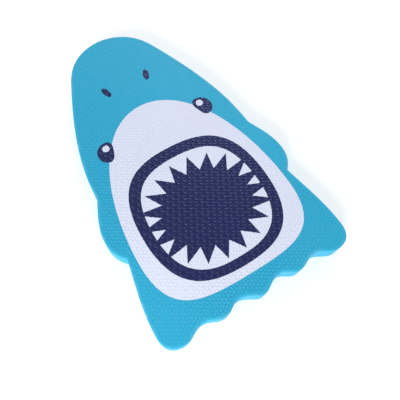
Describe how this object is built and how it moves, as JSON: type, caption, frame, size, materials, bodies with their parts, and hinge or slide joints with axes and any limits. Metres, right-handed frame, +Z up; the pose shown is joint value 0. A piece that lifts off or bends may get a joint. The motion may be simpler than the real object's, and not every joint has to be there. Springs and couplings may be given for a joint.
{
  "type": "kickboard float",
  "caption": "Flat foam kickboard for learning to swim, cut as a shark with side fins and a waved tail edge, its open-mouthed face printed on the deck.",
  "frame": {"origin": "on the floor under the middle of the board's box, with the board lying on its underside", "axes": "+Y towards the shark's nose, +X to the shark's right eye as seen from above with the nose up, +Z up out of the printed deck"},
  "size_m": [0.2736, 0.45, 0.03],
  "materials": {
    "skin_blue": "closed-cell foam sheet, embossed with small stars, satin",
    "core_foam": "smooth cut closed-cell foam, matte",
    "ink_white": "thin print on embossed foam, satin",
    "ink_navy": "thin print on embossed foam, satin"
  },
  "bodies": {
    "root": {"bottom_skin": "skin_blue", "foam_core": "core_foam", "deck_skin": "skin_blue", "face_print": "ink_white", "mouth_print": "ink_navy", "upper_teeth_print": "ink_white", "lower_teeth_print": "ink_white", "tooth_print_left_1": "ink_white", "tooth_print_left_2": "ink_white", "tooth_print_left_3": "ink_white", "tooth_print_right_1": "ink_white", "tooth_print_right_2": "ink_white", "tooth_print_right_3": "ink_white", "eye_print_left": "ink_navy", "eye_print_right": "ink_navy", "glint_print_left": "ink_white", "glint_print_right": "ink_white", "nostril_print_left": "ink_navy", "nostril_print_right": "ink_navy"}
  },
  "joints": []
}
